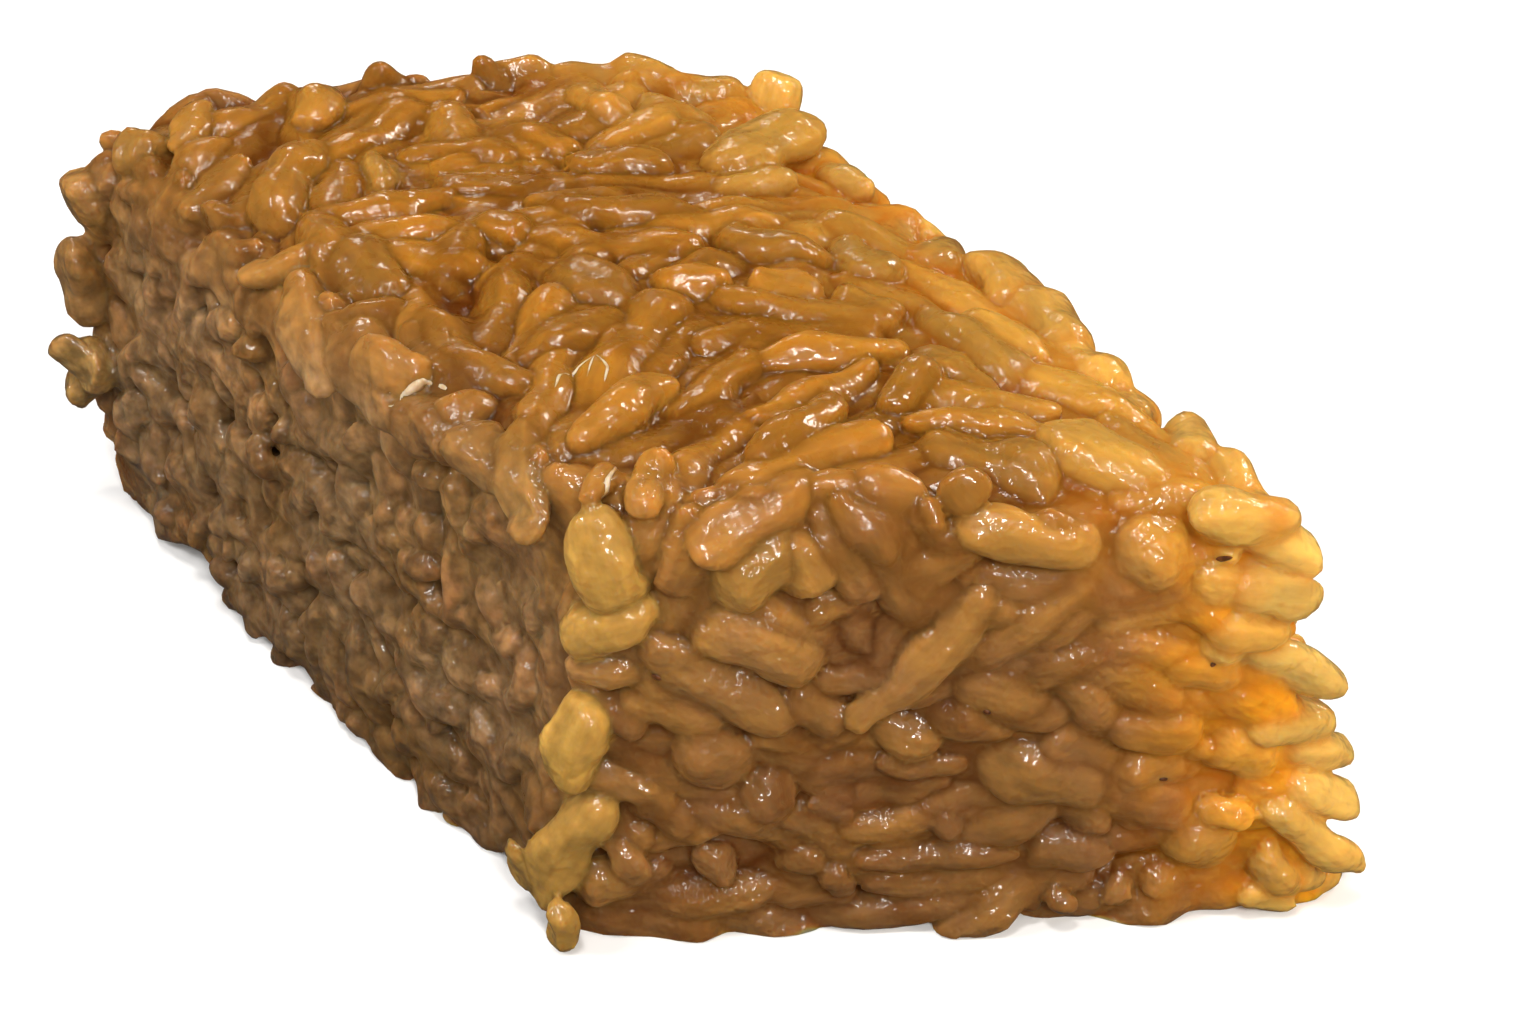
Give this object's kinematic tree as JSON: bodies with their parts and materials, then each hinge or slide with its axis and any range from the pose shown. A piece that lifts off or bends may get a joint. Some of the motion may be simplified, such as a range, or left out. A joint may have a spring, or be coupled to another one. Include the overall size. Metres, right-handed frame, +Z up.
{
  "type": "glutinous rice sweet piece",
  "caption": "A cut piece of sticky glutinous rice cooked with palm sugar: a low diamond block with whole grains showing on its glazed top and its cut sides.",
  "frame": {"origin": "middle of the block's box, at the flat foot it rests on", "axes": "+X along the front cut, +Y away from the front cut towards the far side, +Z up"},
  "size_m": [0.0561, 0.0394, 0.0226],
  "materials": {
    "sticky_rice": "moist, syrup-glazed grains, half translucent, golden brown on top and darker in the valleys"
  },
  "bodies": {
    "root": {"wajik": "sticky_rice"}
  },
  "joints": []
}
